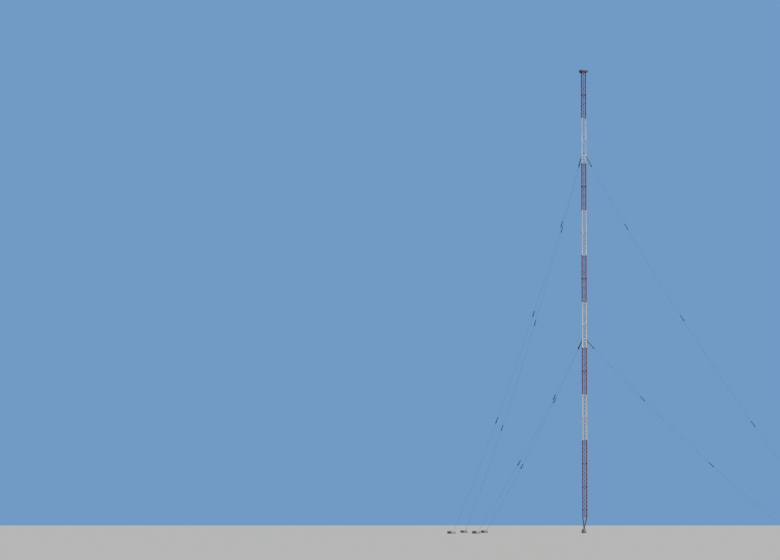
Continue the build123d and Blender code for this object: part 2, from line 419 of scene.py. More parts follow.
def turned_to(angles, shifts=(0, 0, 0)):
    """Places that are first shifted, then turned about Z by each angle in degrees."""
    angles = np.radians(np.atleast_1d(angles).astype(float))
    shifts = np.broadcast_to(np.atleast_2d(np.asarray(shifts, float)), (len(angles), 3))
    places = np.tile(np.eye(4), (len(angles), 1, 1))
    places[:, 0, 0] = places[:, 1, 1] = np.cos(angles)
    places[:, 1, 0] = np.sin(angles)
    places[:, 0, 1] = -places[:, 1, 0]
    places[:, :3, 3] = np.einsum("kij,kj->ki", places[:, :3, :3], shifts)
    return places


def thrice(shape):
    """The shape on each of the three azimuths."""
    return copies(shape, turned_to(azimuths))


def shifted(*shifts):
    """Places that are only shifted."""
    return turned_to(np.zeros(len(shifts)), shifts)


def raised(heights):
    """Places one above the other."""
    heights = np.atleast_1d(heights).astype(float)
    return turned_to(0 * heights, np.stack([0 * heights, 0 * heights, heights], axis=-1))


def bolt_places(radius, count, height=0.0):
    """Places spaced evenly on a circle, the first one half a step round from +X."""
    return turned_to((np.arange(count) + 0.5) * 360 / count, (radius, 0, height))


def tilted(angle):
    """A place turned about X by an angle in degrees: y' = y cos a - z sin a, z' = y sin a + z cos a."""
    turn = radians(angle)
    place = np.eye(4)
    place[1, 1] = place[2, 2] = np.cos(turn)
    place[2, 1] = np.sin(turn)
    place[1, 2] = -place[2, 1]
    return place[None]


def chained(outer, inner):
    """Every outer place times every inner place."""
    return np.einsum("aij,bjk->abik", outer, inner).reshape(-1, 4, 4)


def aimed(start, end):
    """A place at start whose Z runs to end, with Y kept across the XZ plane."""
    along = (end - start) / np.linalg.norm(end - start)
    across = np.array([0.0, 1.0, 0.0])
    place = np.eye(4)
    place[:3, :3] = np.stack([np.cross(across, along), across, along], axis=1)
    place[:3, 3] = start
    return place[None]


def turned(outline, sides):
    """An outline of (radius, height) pairs turned about Z: x = r cos a, y = r sin a, z = h."""
    outline = np.asarray(outline, float)
    angles = (np.arange(sides) + 0.5) * 2 * pi / sides
    circle = np.stack([np.cos(angles), np.sin(angles)], axis=-1)
    rings = np.empty((len(outline), sides, 3))
    rings[..., :2] = outline[:, None, :1] * circle
    rings[..., 2] = outline[:, None, 1]
    return skin(rings)


def tube(path, radius, sides, across):
    """A round bar along a flat path.

    Ring point = path point + r (cos a * across + sin a * side), side being square to the path's direction and
    stretched by 1 / cos(half the turn) at a bend, so that the bar keeps its thickness.
    """
    path = np.asarray(path, float)
    across = np.asarray(across, float)
    runs = np.diff(path, axis=0)
    runs /= np.linalg.norm(runs, axis=1, keepdims=True)
    before = np.concatenate([runs[:1], runs])
    behind = np.concatenate([runs, runs[-1:]])
    along = before + behind
    along /= np.linalg.norm(along, axis=1, keepdims=True)
    side = np.cross(along, across) / (along * before).sum(axis=1, keepdims=True)
    angles = np.arange(sides)[:, None] * 2 * pi / sides
    radii = np.broadcast_to(np.asarray(radius, float), len(path))[:, None, None]
    rings = path[:, None] + radii * (np.cos(angles) * across + np.sin(angles) * side[:, None])
    return skin(rings)


def edge_normals(outline):
    """Outward normals of a convex outline's edges, anticlockwise: an edge (x, y) has the normal (y, -x)."""
    edges = np.roll(outline, -1, axis=0) - outline
    normals = np.stack([edges[:, 1], -edges[:, 0]], axis=-1)
    return normals / np.linalg.norm(normals, axis=1, keepdims=True)


def corner_draws(outline):
    """How far a corner moves for a unit of inset: (n1 + n2) / (1 + n1 . n2), n1 and n2 its edges' normals."""
    normals = edge_normals(outline)
    before = np.roll(normals, 1, axis=0)
    return (normals + before) / (1 + (normals * before).sum(axis=1, keepdims=True))


def cut_corners(outline, cut):
    """The outline with each corner replaced by two points, a cut's length along its edges."""
    outline = np.asarray(outline, float)
    ahead = np.roll(outline, -1, axis=0) - outline
    behind = np.roll(outline, 1, axis=0) - outline
    ahead = outline + cut * ahead / np.linalg.norm(ahead, axis=1, keepdims=True)
    behind = outline + cut * behind / np.linalg.norm(behind, axis=1, keepdims=True)
    return np.stack([behind, ahead], axis=1).reshape(-1, 2)


def rectangle(low_x, high_x, low_y, high_y):
    """The corners of a rectangle, anticlockwise."""
    return np.array([(low_x, low_y), (high_x, low_y), (high_x, high_y), (low_x, high_y)], float)


def boxed(low_x, high_x, low_y, high_y, cut):
    """A rectangle with cut corners."""
    return cut_corners(rectangle(low_x, high_x, low_y, high_y), cut)


def cut_triangle(side, corner):
    """A triangle with a cut corner over each leg.

    The cut runs from (corner, -t) to (corner, t), where t = (2 side - corner) / sqrt 3.
    """
    half = (2 * side - corner) / sqrt(3)
    ends = np.array([(corner, -half), (corner, half)])
    return np.einsum("kij,nj->kni", turned_to(azimuths)[:, :2, :2], ends).reshape(-1, 2)


def slab(outline, low, high, chamfer):
    """A convex outline raised from low to high, with a chamfer along both its edges."""
    outline = np.asarray(outline, float)
    narrow = outline - chamfer * corner_draws(outline)
    rings = np.empty((4, len(outline), 3))
    rings[:, :, :2] = np.stack([narrow, outline, outline, narrow])
    rings[:, :, 2] = np.array([low, low + chamfer, high - chamfer, high])[:, None]
    return skin(rings)


def carried(profile, start, stop):
    """A profile of (Y, Z) pairs carried along X from start to stop."""
    rings = np.empty((2, len(profile), 3))
    rings[..., 1:] = profile
    rings[..., 0] = np.array([start, stop])[:, None]
    return skin(rings)


def framed(outline, profile):
    """A bar run round a convex outline, from a profile of (inset, height) pairs.

    Point = corner - inset * the corner's draw.
    """
    profile = np.asarray(profile, float)
    rings = np.empty((len(outline), len(profile), 3))
    rings[..., :2] = outline[:, None] - profile[None, :, :1] * corner_draws(outline)[:, None]
    rings[..., 2] = profile[:, 1]
    return skin(rings, closed=True)


def channel(width, depth, steel):
    """A channel's profile of (inset, height) pairs from height 0, its web outside, its flanges inwards."""
    round_off = steel / 3
    return [
        (round_off, 0),
        (width, 0),
        (width, steel),
        (steel, steel),
        (steel, depth - steel),
        (width, depth - steel),
        (width, depth),
        (round_off, depth),
        (0, depth - round_off),
        (0, round_off),
    ]


def rounded(corners, bend, steps=5):
    """A path whose inner corners C become parabolas from A to B, which lie a bend's length from C.

    Point = (1 - s)^2 A + 2 s (1 - s) C + s^2 B.
    """
    corners = np.asarray(corners, float)
    inner = corners[1:-1, None]
    back = corners[:-2, None] - inner
    ahead = corners[2:, None] - inner
    start = inner + bend * back / np.linalg.norm(back, axis=2, keepdims=True)
    finish = inner + bend * ahead / np.linalg.norm(ahead, axis=2, keepdims=True)
    s = np.linspace(0, 1, steps)[None, :, None]
    bends = (1 - s) ** 2 * start + 2 * s * (1 - s) * inner + s**2 * finish
    return np.concatenate([corners[:1], bends.reshape(-1, 3), corners[-1:]])


def flipped(outline, height):
    """An outline of (radius, height) pairs turned upside down, so that its zero comes to the height."""
    return np.asarray(outline)[::-1] * (1, -1) + (0, height)


def stacked(outline, start, pitch, count):
    """An outline of (radius, share) pairs repeated, at start + (k + share) pitch for k = 0 to count - 1."""
    outline = np.asarray(outline, float)
    heights = start + (np.arange(count)[:, None] + outline[None, :, 1]) * pitch
    return np.stack([np.tile(outline[:, 0], (count, 1)), heights], axis=-1).reshape(-1, 2)


def hexagon_nut(radius, height, edge):
    """A bolt's head or nut on z = 0, with its far edge broken. With a negative height it hangs down."""
    shoulder = height - np.sign(height) * edge
    return turned([(radius, 0), (radius, shoulder), (radius - edge, height)], nut_sides)


def piece(name, shape, finish, replaced=(), edge_angle=35, around=0, lengths=None):
    """Makes a mesh of the shape, with its finish and the CAD nodes that it stands for.

    A strand also gets a UV map: U is the length along it in metres, V goes from 0 to 1 around it.
    """
    points, quads, triangles = shape
    mesh = bpy.data.meshes.new(name)
    mesh.vertices.add(len(points))
    mesh.vertices.foreach_set("co", points.astype(np.float32).ravel())
    mesh.loops.add(quads.size + triangles.size)
    corners = np.concatenate([quads.ravel(), triangles.ravel()]).astype(np.int32)
    mesh.loops.foreach_set("vertex_index", corners)
    starts = np.concatenate([np.arange(len(quads)) * 4, quads.size + np.arange(len(triangles)) * 3])
    mesh.polygons.add(len(starts))
    mesh.polygons.foreach_set("loop_start", starts.astype(np.int32))
    mesh.update(calc_edges=True)
    mesh.shade_smooth()
    mesh.set_sharp_from_angle(angle=radians(edge_angle))
    if lengths is not None:
        uv = np.zeros((len(corners), 2), np.float32)
        uv[: quads.size, 0] = lengths.ravel()
        turn = (np.arange(len(quads)) % around)[:, None] + np.array([0, 1, 1, 0])
        uv[: quads.size, 1] = (turn / around).ravel()
        mesh.uv_layers.new(name="Lay").data.foreach_set("uv", uv.ravel())
    made = bpy.data.objects.new(name, mesh)
    bpy.context.collection.objects.link(made)
    mesh.materials.append(finish)
    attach(made, "root")
    if replaced:
        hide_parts(*replaced)
    return made


def add_node(tree, kind, inputs=None, **settings):
    """A shader node. Each input is given as a value, or as the socket that feeds it."""
    made = tree.nodes.new(kind)
    for name, value in settings.items():
        setattr(made, name, value)
    feed(tree, made, inputs or {})
    return made


def feed(tree, node, inputs):
    """Sets a node's inputs, or links them where the value is a socket."""
    for name, value in inputs.items():
        if isinstance(value, bpy.types.NodeSocket):
            tree.links.new(value, node.inputs[name])
        else:
            node.inputs[name].default_value = value


def math_node(tree, operation, first, second=0.0, clamp=False):
    """A Math node's result."""
    made = add_node(tree, "ShaderNodeMath", {0: first, 1: second}, operation=operation, use_clamp=clamp)
    return made.outputs[0]


def product(tree, *values, clamp=False):
    """Several values multiplied."""
    result = values[0]
    for value in values[1:]:
        result = math_node(tree, "MULTIPLY", result, value, clamp)
    return result


def spread(tree, value, low, high, to_low=0.0, to_high=1.0):
    """A value stretched from the range low to high onto another range, and held inside it."""
    inputs = {"Value": value, "From Min": low, "From Max": high, "To Min": to_low, "To Max": to_high}
    return add_node(tree, "ShaderNodeMapRange", inputs).outputs["Result"]


def noise(tree, place, scale, detail=3.0, roughness=0.5):
    """A noise pattern's value."""
    inputs = {"Vector": place, "Scale": scale, "Detail": detail, "Roughness": roughness}
    return add_node(tree, "ShaderNodeTexNoise", inputs).outputs["Fac"]


def stretched(tree, place, scale):
    """The place with each axis scaled on its own, so that a pattern is drawn out along the smallest one."""
    return add_node(tree, "ShaderNodeMapping", {"Vector": place, "Scale": scale}).outputs["Vector"]


def height_of(tree, vector):
    """The Z of a place or a direction."""
    return add_node(tree, "ShaderNodeSeparateXYZ", {"Vector": vector}).outputs["Z"]


def mixed(tree, share, first, second):
    """Two colours mixed by a share from 0 to 1."""
    made = add_node(tree, "ShaderNodeMix", data_type="RGBA")
    feed(tree, made, {0: share, 6: first, 7: second})
    return made.outputs[2]


def overlaid(tree, colour, *layers):
    """A colour with layers over it, each one given as its mask, its strength and its own colour."""
    for mask, strength, layer in layers:
        colour = mixed(tree, product(tree, mask, strength), colour, layer)
    return colour


def bump(tree, height, strength, depth):
    """A Bump node's normal."""
    inputs = {"Height": height, "Strength": strength, "Distance": depth}
    return add_node(tree, "ShaderNodeBump", inputs).outputs[0]


def new_group(name, amounts):
    """An empty node group that is given a place and named amounts, and the sockets that its nodes read."""
    group = bpy.data.node_groups.new(name, "ShaderNodeTree")
    group.interface.new_socket("Place", in_out="INPUT", socket_type="NodeSocketVector")
    for label, value in amounts.items():
        socket = group.interface.new_socket(label, in_out="INPUT", socket_type="NodeSocketFloat")
        socket.default_value = value
    return group, group.nodes.new("NodeGroupInput").outputs


def give_out(group, results):
    """Makes an output for each of a node group's results, and returns the finished group."""
    for label in results:
        group.interface.new_socket(label, in_out="OUTPUT", socket_type="NodeSocketFloat")
    feed(group, group.nodes.new("NodeGroupOutput"), results)
    return group


def weathered_coat():
    """Paint that has stood outdoors: broad fading, dirt that ran down, bare chips, and rust below joints."""
    group, given = new_group("Weathered coat", {"Streaks": 0.5, "Chips": 0.5})
    place = given["Place"]
    long_noise = noise(group, stretched(group, place, (70, 70, 1.6)), 1.0, detail=4.0, roughness=0.65)
    runs = spread(group, long_noise, 0.48, 0.74)
    spots = spread(group, noise(group, place, 190.0, detail=5.0, roughness=0.72), 0.63, 0.68)
    patches = spread(group, noise(group, place, 9.0), 0.45, 0.65)
    bare = product(group, spots, patches, given["Chips"], clamp=True)
    above_joint = math_node(group, "DIVIDE", height_of(group, place), section_length)
    below = spread(group, math_node(group, "FRACT", above_joint), 0.84, 0.99)
    drip_noise = noise(group, stretched(group, place, (260, 260, 9)), 1.0, roughness=0.6)
    drips = spread(group, drip_noise, 0.5, 0.68)
    grain = product(group, noise(group, place, 1400.0, detail=2.0), 0.35)
    results = {
        "Fade": spread(group, noise(group, place, 2.1, detail=4.0, roughness=0.6), 0.34, 0.66),
        "Grime": product(group, runs, given["Streaks"], clamp=True),
        "Bare": bare,
        "Rust": product(group, below, drips, given["Chips"], clamp=True),
        "Height": math_node(group, "SUBTRACT", grain, bare),
    }
    return give_out(group, results)


def settled_dust():
    """Dust on what faces up: the normal's Z, broken up by noise."""
    group, given = new_group("Settled dust", {"Amount": 0.5})
    upward = height_of(group, add_node(group, "ShaderNodeNewGeometry").outputs["Normal"])
    patches = noise(group, given["Place"], 60.0, detail=4.0, roughness=0.6)
    patchy = spread(group, patches, 0.3, 0.7, 0.35, 1.0)
    dust = product(group, spread(group, upward, 0.25, 0.95), patchy, given["Amount"], clamp=True)
    return give_out(group, {"Dust": dust})


def zinc_spangle():
    """Crystals of hot-dip zinc: one tone for each cell, dulled by a broad noise."""
    group, given = new_group("Zinc spangle", {"Size": spangle_size})
    place = given["Place"]
    scale = math_node(group, "DIVIDE", 1.0, given["Size"])
    cells = add_node(group, "ShaderNodeTexVoronoi", {"Vector": place, "Scale": scale}).outputs["Color"]
    cell = add_node(group, "ShaderNodeSeparateColor", {"Color": cells}).outputs
    dull = spread(group, noise(group, place, 22.0, detail=4.0, roughness=0.6), 0.3, 0.7, 0.72, 1.0)
    results = {
        "Tone": product(group, dull, spread(group, cell[0], 0, 1, 0.82, 1.0)),
        "Rough": spread(group, cell[1], 0, 1, 0.46, 0.66),
        "Height": noise(group, place, 900.0, detail=2.0),
    }
    return give_out(group, results)


def cast_surface():
    """Concrete cast against boards: mottling, pores, board marks up the sides and damp near the ground."""
    group, given = new_group("Cast surface", {"Board": board_height})
    place = given["Place"]
    height = height_of(group, place)
    mottle = spread(group, noise(group, place, 24.0, detail=6.0, roughness=0.65), 0.3, 0.7)
    pores = spread(group, noise(group, place, 420.0, detail=2.0, roughness=0.6), 0.66, 0.74)
    board = math_node(group, "FRACT", math_node(group, "DIVIDE", height, given["Board"]))
    seam = math_node(group, "GREATER_THAN", board, 0.93)
    dents = math_node(group, "ADD", product(group, seam, 0.6), pores)
    wobble = product(group, noise(group, place, 35.0), 0.03)
    results = {
        "Tone": mottle,
        "Pores": pores,
        "Damp": spread(group, math_node(group, "SUBTRACT", height, wobble), 0.0, 0.022, 1.0, 0.0),
        "Height": math_node(group, "SUBTRACT", product(group, mottle, 0.4), dents),
    }
    return give_out(group, results)


coat_group = weathered_coat()
dust_group = settled_dust()
spangle_group = zinc_spangle()
cast_group = cast_surface()


def new_finish(name):
    """A material with an empty Principled shader, its node tree and its Object coordinates."""
    material = bpy.data.materials.new(name)
    material.use_nodes = True
    tree = material.node_tree
    place = add_node(tree, "ShaderNodeTexCoord").outputs["Object"]
    return material, tree, tree.nodes["Principled BSDF"], place


def placed_group(tree, group, place, **amounts):
    """A node group put into a material with its own amounts."""
    made = tree.nodes.new("ShaderNodeGroup")
    made.node_tree = group
    feed(tree, made, {"Place": place, **amounts})
    return made.outputs


def paint_finish(name, fresh, faded, streaks, chips):
    """Weathered mast paint: fading, dark runs, small rusty chips and rust that bled from the joints."""
    material, tree, shader, place = new_finish(name)
    coat = placed_group(tree, coat_group, place, Streaks=streaks, Chips=chips)
    dust = placed_group(tree, dust_group, place, Amount=0.25)
    colour = overlaid(
        tree,
        mixed(tree, coat["Fade"], fresh, faded),
        (coat["Grime"], 0.6, paint_grime),
        (coat["Rust"], 0.75, bled_rust),
        (coat["Bare"], 1.0, chip_rust),
        (dust["Dust"], 1.0, paint_dust),
    )
    inputs = {
        "Base Color": colour,
        "Roughness": spread(tree, coat["Fade"], 0, 1, 0.52, 0.78),
        "Specular IOR Level": 0.35,
        "Normal": bump(tree, coat["Height"], 0.5, 0.0002),
    }
    feed(tree, shader, inputs)
    return material


def zinc_finish(name, light, dark, metallic):
    """Galvanised steel with its spangle, dulled, dusty and rusting in places."""
    material, tree, shader, place = new_finish(name)
    spangle = placed_group(tree, spangle_group, place, Size=spangle_size)
    coat = placed_group(tree, coat_group, place, Streaks=0.6, Chips=0.5)
    dust = placed_group(tree, dust_group, place, Amount=0.4)
    colour = overlaid(
        tree,
        mixed(tree, spread(tree, spangle["Tone"], 0.6, 1.0), dark, light),
        (coat["Grime"], 0.5, zinc_grime),
        (coat["Bare"], 1.0, zinc_rust),
        (dust["Dust"], 1.0, zinc_dust),
    )
    inputs = {
        "Base Color": colour,
        "Metallic": metallic,
        "Roughness": spangle["Rough"],
        "Normal": bump(tree, spangle["Height"], 0.3, 0.0001),
    }
    feed(tree, shader, inputs)
    return material


def strand_finish():
    """Greased steel strand: six outer wires, h = |sin(6 pi (v + u / lay))|, drawn darker in the grooves
    between them.
    """
    material, tree, shader, place = new_finish("Guy strand")
    lay = add_node(tree, "ShaderNodeUVMap", uv_map="Lay").outputs["UV"]
    split = add_node(tree, "ShaderNodeSeparateXYZ", {"Vector": lay}).outputs
    along = math_node(tree, "DIVIDE", split["X"], lay_length)
    phase = product(tree, math_node(tree, "ADD", along, split["Y"]), 6 * pi)
    ridge = math_node(tree, "ABSOLUTE", math_node(tree, "SINE", phase))
    groove = spread(tree, ridge, 0.0, 0.55, 1.0, 0.0)
    coat = placed_group(tree, coat_group, place, Streaks=0.7, Chips=0.7)
    colour = overlaid(
        tree,
        mixed(tree, coat["Fade"], greased_strand, dry_strand),
        (coat["Bare"], 1.0, strand_rust),
        # The grooves between the wires are drawn darker
        (groove, 0.8, groove_darkening),
    )
    inputs = {
        "Base Color": colour,
        "Metallic": 0.5,
        "Roughness": spread(tree, ridge, 0, 1, 0.75, 0.5),
        "Normal": bump(tree, ridge, 0.9, 0.0003),
    }
    feed(tree, shader, inputs)
    return material


def glaze_finish():
    """Dark brown porcelain glaze, slightly mottled and thinner in places, with dust on the sheds."""
    material, tree, shader, place = new_finish("Brown porcelain")
    mottle = spread(tree, noise(tree, place, 130.0, detail=4.0, roughness=0.6), 0.3, 0.7)
    dust = placed_group(tree, dust_group, place, Amount=0.3)
    colour = mixed(tree, mottle, dark_glaze, light_glaze)
    inputs = {
        "Base Color": overlaid(tree, colour, (dust["Dust"], 1.0, glaze_dust)),
        "Roughness": spread(tree, dust["Dust"], 0, 0.3, 0.24, 0.6),
        "Specular IOR Level": 0.3,
        "Coat Weight": 0.15,
        "Coat Roughness": 0.1,
        "Normal": bump(tree, mottle, 0.15, 0.0002),
    }
    feed(tree, shader, inputs)
    return material


def concrete_finish():
    """Cast concrete, damp and greenish near the ground."""
    material, tree, shader, place = new_finish("Concrete")
    cast = placed_group(tree, cast_group, place, Board=board_height)
    colour = overlaid(
        tree,
        mixed(tree, cast["Tone"], dark_concrete, light_concrete),
        (cast["Pores"], 0.6, pore_shade),
        (cast["Damp"], 0.6, damp_green),
    )
    inputs = {
        "Base Color": colour,
        "Roughness": spread(tree, cast["Tone"], 0, 1, 0.95, 0.8),
        "Normal": bump(tree, cast["Height"], 0.7, 0.0006),
    }
    feed(tree, shader, inputs)
    return material


red_paint = paint_finish("Red paint", fresh_red, faded_red, streaks=0.7, chips=0.8)
white_paint = paint_finish("White paint", fresh_white, faded_white, streaks=0.6, chips=0.8)
zinc = zinc_finish("Galvanised steel", light_zinc, dark_zinc, metallic=0.7)
dull_steel = zinc_finish("Dull steel", light_steel, dark_steel, metallic=0.5)
strand = strand_finish()
glaze = glaze_finish()
concrete = concrete_finish()

leg_places = turned_to(azimuths, (leg_circle, 0, 0))
face_places = turned_to(azimuths + 60, (side_distance, 0, 0))

# A bolt: its head, and the nut and thread that stand out on the other side
hex_head = hexagon_nut(bolt_radius, bolt_head_height, bolt_head_edge)
thread_line = [
    (thread_radius, 0),
    (thread_radius, thread_tip - thread_length),
    (thread_radius - thread_taper, -thread_length),
]
bolt_below = merged(hexagon_nut(bolt_radius, -nut_height, nut_edge), turned(thread_line, thread_sides))

# The nut of a bolt cast into concrete, with the thread that stands out of it
anchor_nut_line = [
    (anchor_nut_radius, 0),
    (anchor_nut_radius, anchor_nut_height - 0.0004),
    (anchor_nut_radius - 0.0005, anchor_nut_height),
    (anchor_thread_radius, anchor_nut_height),
    (anchor_thread_radius, anchor_thread_height - 0.0004),
    (anchor_thread_radius - 0.0003, anchor_thread_height),
]
anchor_nut = turned(anchor_nut_line, nut_sides)

# One section's leg from flange to flange: plate, weld, tube, weld, plate, and fins between the bolts
leg_foot_line = [
    (flange_radius - flange_edge, joint_gap),
    (flange_radius, joint_gap + flange_edge),
    (flange_radius, flange_thickness - flange_edge),
    (flange_radius - flange_edge, flange_thickness),
    (leg_radius + weld_width, flange_thickness),
    (leg_radius, flange_thickness + weld_length),
]
leg_head_line = flipped(leg_foot_line, section_length)
fin_outline = [
    (leg_radius - fin_sink, flange_thickness),
    (fin_reach, flange_thickness),
    (fin_reach, flange_thickness + fin_toe),
    (leg_radius + fin_crown, flange_thickness + fin_height),
    (leg_radius - fin_sink, flange_thickness + fin_height),
]
fin = copies(slab(fin_outline, -fin_thickness / 2, fin_thickness / 2, fine_edge), tilted(90))
fins = copies(fin, turned_to(np.arange(flange_bolt_count) * 360 / flange_bolt_count))
upper_fins = copies(fins, chained(raised(section_length), tilted(180)))
section_leg = merged(turned(np.concatenate([leg_foot_line, leg_head_line]), leg_sides), fins, upper_fins)

# Weld beads of the lacing: long ones on the legs, and short ones where two bars cross
leg_bead_line = [(0.0014, -0.0065), (0.0029, -0.0035), (0.0033, 0), (0.0029, 0.0035), (0.0014, 0.0065)]
leg_bead = turned(leg_bead_line, weld_bead_sides)
cross_bead = turned([(0.0014, -0.0034), (0.0032, 0), (0.0014, 0.0034)], weld_bead_sides)

# The level angle bar of a side, about its own middle: a foot and a web
level_foot_line = boxed(0, level_bar_width, 0, level_bar_thickness, fine_edge)
level_web_line = boxed(level_web_inset, level_bar_thickness, level_web_rise, level_bar_height, fine_edge)
level_foot = carried(level_foot_line, -level_bar_reach, level_bar_reach)
level_web = carried(level_web_line, -level_bar_reach, level_bar_reach)
level_bar = merged(level_foot, level_web)


def laced_face(low, high, panels, level_low):
    """One flat side of a section: two bent round bars, back to front, and a level angle bar near both ends.

    Corner k stands at height low + k (high - low) / panels, on the left or the right leg by turns. The bars
    cross halfway between, and welds sit at every corner and crossing.
    """
    turns = np.arange(panels + 1)
    pitch = (high - low) / panels
    corners = np.zeros((panels + 1, 3))
    corners[:, 1] = lacing_reach * (-1.0) ** (turns + 1)
    corners[[0, -1], 1] *= lacing_end_reach / lacing_reach
    corners[:, 2] = low + turns * pitch
    corners[:, 0] = lacing_radius
    bent = tube(rounded(corners, lacing_bend), lacing_radius, lacing_sides, (1, 0, 0))
    bead_spots = corners * (1, 0, 1)
    bead_spots[:, 1] = np.sign(corners[:, 1]) * lacing_reach
    bars = copies(merged(bent, copies(leg_bead, shifted(*bead_spots))), turned_to([0, 180]))
    crossings = copies(cross_bead, raised(low + (turns[:-1] + 0.5) * pitch))
    lower_place = chained(raised(level_low), turned_to([90]))
    upper_place = chained(raised(section_length - level_bar_rise), chained(turned_to([-90]), tilted(180)))
    return merged(bars, crossings, copies(level_bar, lower_place), copies(level_bar, upper_place))


face = laced_face(lacing_clearance, section_length - lacing_clearance, panel_count, level_bar_rise)
for number in range(1, section_count // sections_per_band + 1):
    bottom = (number - 1) * sections_per_band
    heights = np.arange(max(bottom, 1), bottom + sections_per_band) * section_length
    finish, slot = (red_paint, "mast_red") if number in red_bands else (white_paint, "mast_white")
    legs = copies(section_leg, chained(raised(heights), leg_places))
    piece(f"leg_tubes_{number:02d}", legs, finish, [f"legs_{number:02d}"])
    lacing = copies(face, chained(raised(heights), face_places))
    piece(f"lacing_bars_{number:02d}", lacing, finish, [f"lacing_{number:02d}"])

# Bolts through every pair of flange plates, with only their nuts at the mast's top
bolt_ring = bolt_places(flange_bolt_circle, flange_bolt_count)
heads = copies(hex_head, chained(leg_places, bolt_ring))
nuts = copies(bolt_below, chained(leg_places, bolt_ring))
joints = np.arange(1, section_count + 1) * section_length
joint_heads = copies(heads, raised(joints[:-1] + flange_thickness))
joint_nuts = copies(nuts, raised(joints - flange_thickness))
piece("flange_bolts", merged(joint_heads, joint_nuts), zinc)

# Foot: legs bent inwards, welds on the cap, two panels of lacing
foot_path = np.array(
    [
        (foot_radius - foot_tube_lean, 0, foot_height - foot_tube_sink),
        (leg_circle, 0, shoulder_height),
        (leg_circle, 0, section_length - foot_tube_drop),
    ]
)
foot_leg = tube(rounded(foot_path, foot_bend), leg_radius, leg_sides, (0, 1, 0))
foot_slope = (foot_path[1] - foot_path[0]) / np.linalg.norm(foot_path[1] - foot_path[0])
foot_weld_path = foot_path[0] + foot_slope * np.array(foot_weld_reaches)[:, None]
foot_weld = tube(foot_weld_path, leg_radius + np.array(foot_weld_widths), leg_sides, (0, 1, 0))
top_plate = merged(turned(leg_head_line[:-1], leg_sides), upper_fins)
foot_legs = thrice(merged(foot_leg, foot_weld, copies(top_plate, shifted((leg_circle, 0, 0)))))
piece("foot_leg_tubes", foot_legs, red_paint, ["foot_legs"])

foot_low = shoulder_height + lacing_clearance
foot_high = section_length - lacing_clearance
foot_face = laced_face(foot_low, foot_high, foot_panel_count, foot_low - foot_level_drop)
piece("foot_lacing_bars", copies(foot_face, face_places), red_paint, ["foot_lacing"])


def disc(radius, low, high):
    """A turned plate with chamfered edges and a shallow groove round its rim."""
    middle = (low + high) / 2
    outline = [
        (radius - disc_chamfer, low),
        (radius, low + disc_chamfer),
        (radius, middle - groove_mouth),
        (radius - groove_depth, middle - groove_floor),
        (radius - groove_depth, middle + groove_floor),
        (radius, middle + groove_mouth),
        (radius, high - disc_chamfer),
        (radius - disc_chamfer, high),
    ]
    return turned(outline, disc_sides)


cap_disc = disc(cap_radius, cap_underside, foot_height)
piece("foot_cap_disc", cap_disc, zinc, ["foot_cap"])
bearing_disc = disc(bearing_radius, pedestal_height, insulator_foot)
piece("bearing_disc", bearing_disc, zinc, ["bearing_plate"])
cap_bolts = merged(
    copies(hex_head, bolt_places(cap_bolt_circle, cap_bolt_count, foot_height)),
    copies(bolt_below, bolt_places(cap_bolt_circle, cap_bolt_count, cap_underside)),
)
bearing_places = bolt_places(bearing_bolt_circle, bearing_bolt_count, insulator_foot)
foot_bolts = merged(cap_bolts, copies(anchor_nut, bearing_places))
piece("foot_bolts", foot_bolts, dull_steel)

# Base insulator: sheds between two steel sockets
core_low = insulator_foot + socket_height
core_high = cap_underside - socket_height
shed_pitch = (core_high - core_low) / insulator_shed_count
shed_line = [
    (insulator_core, 0.02),
    (insulator_core + 0.0012, 0.1),
    (insulator_shed_radius - 0.002, 0.16),
    (insulator_shed_radius - 0.0004, 0.19),
    (insulator_shed_radius, 0.25),
    (insulator_shed_radius - 0.0005, 0.32),
    (insulator_core + 0.0035, 0.62),
    (insulator_core + 0.0008, 0.78),
    (insulator_core, 0.95),
]
insulator_line = [
    (insulator_core, core_low - insulator_core_sink),
    *stacked(shed_line, core_low, shed_pitch, insulator_shed_count),
    (insulator_core, core_high + insulator_core_sink),
]
base_sheds = turned(insulator_line, insulator_sides)
piece("base_sheds", base_sheds, glaze, ["base_insulator"])
socket_line = [
    (socket_radius - 0.0005, 0),
    (socket_radius, 0.0005),
    (socket_radius, 0.003),
    (socket_radius - 0.003, 0.0045),
    (insulator_core + 0.002, 0.0072),
    (insulator_core + 0.0012, socket_height),
]
base_sockets = merged(
    copies(turned(socket_line, insulator_sides), raised(insulator_foot)),
    turned(flipped(socket_line, cap_underside), insulator_sides),
)
piece("base_sockets", base_sockets, zinc)

# Pedestal: a tapered eight-sided block with chamfered edges and a grout bed
half_side_turn = pi / pedestal_sides
corner_angles = half_side_turn + np.arange(pedestal_sides) * 2 * half_side_turn
octagon = np.stack([np.cos(corner_angles), np.sin(corner_angles)], axis=-1)
narrowing = np.tan(radians(pedestal_taper)) / np.cos(half_side_turn)


def pedestal_ring(height, inset):
    """The pedestal's outline at a height: corner reach = radius - height tan(taper) / cos(22.5) - inset."""
    return cut_corners(octagon * (pedestal_radius - height * narrowing - inset), pedestal_corner_cut)


pedestal_heights = np.array([0, pedestal_height - pedestal_chamfer, pedestal_height])
pedestal_insets = np.array([0, 0, pedestal_chamfer])
pedestal_rings = np.empty((len(pedestal_heights), 2 * pedestal_sides, 3))
pedestal_rings[..., :2] = np.stack([pedestal_ring(h, d) for h, d in zip(pedestal_heights, pedestal_insets)])
pedestal_rings[..., 2] = pedestal_heights[:, None]
grout_line = [
    (0.0465, pedestal_height - 0.001),
    (0.0462, pedestal_height + 0.0012),
    (0.0415, pedestal_height + 0.0034),
]
pedestal_block = merged(skin(pedestal_rings), turned(grout_line, grout_sides))
piece("pedestal_block", pedestal_block, concrete, ["pedestal"])

